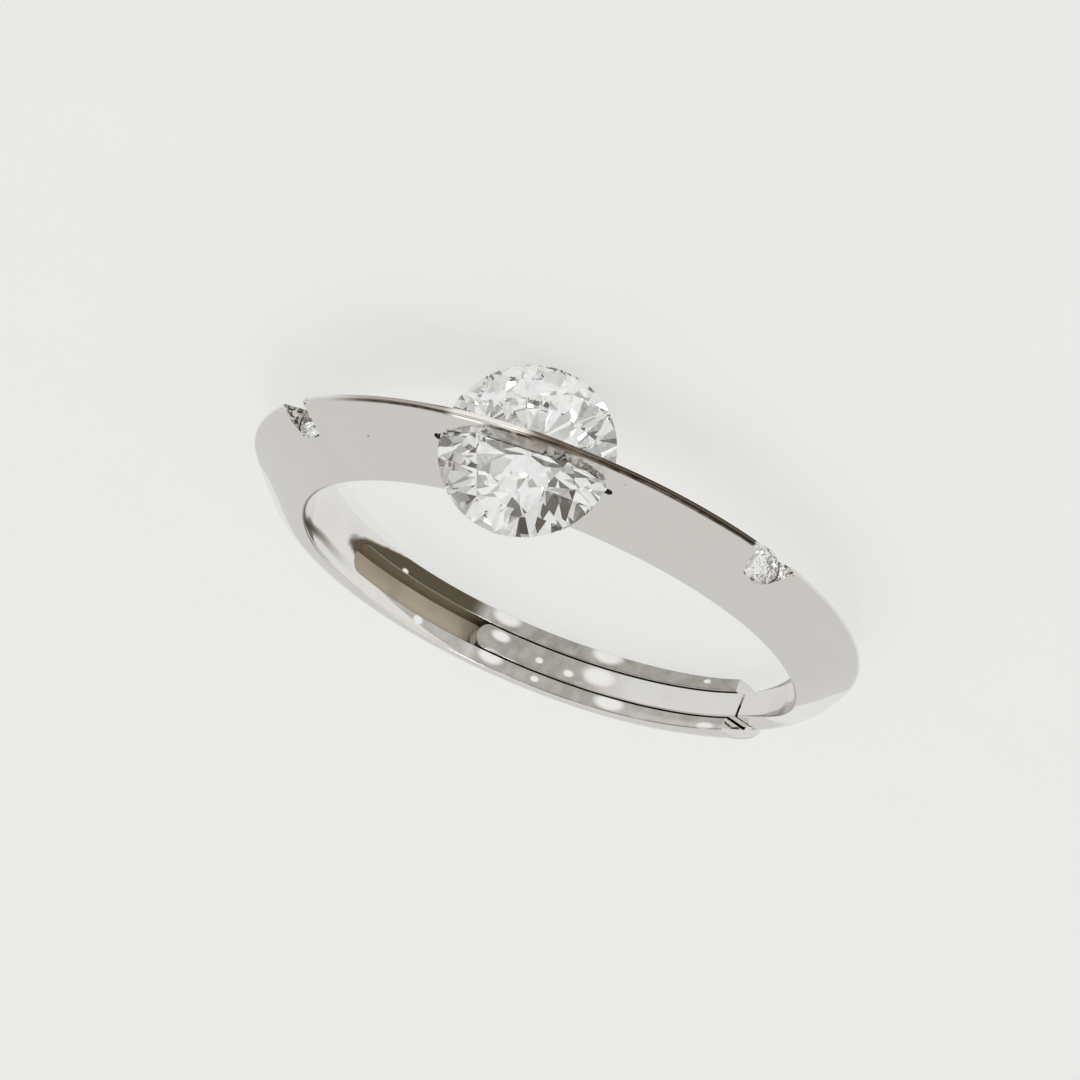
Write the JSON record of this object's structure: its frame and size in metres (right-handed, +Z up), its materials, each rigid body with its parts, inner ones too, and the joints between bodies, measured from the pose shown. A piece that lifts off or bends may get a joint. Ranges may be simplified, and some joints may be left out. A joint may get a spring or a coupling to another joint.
{
  "type": "adjustable knife-edge stone ring",
  "caption": "Polished knife-edge finger ring with an open adjustable shank; a round brilliant in a window under the ridge bar, and a small brilliant notched into the ridge on each side.",
  "frame": {"origin": "bottom centre of the ring's box, on the surface that the ring lies on", "axes": "+Z up from the surface; the head with its stone points along -Y; +X is to the side of the arm with the sleeve. The finger axis is near +Z and leans back by about 4.6 degrees, as the ring rests on its stone's girdle and its sleeve"},
  "size_m": [0.0201, 0.0218, 0.0051],
  "materials": {
    "polished_metal": "mirror-polished white precious metal",
    "clear_stone": "clear faceted brilliant"
  },
  "bodies": {
    "root": {"band": "polished_metal", "centre_stone": "clear_stone", "side_stone_left": "clear_stone", "side_stone_right": "clear_stone"}
  },
  "joints": []
}
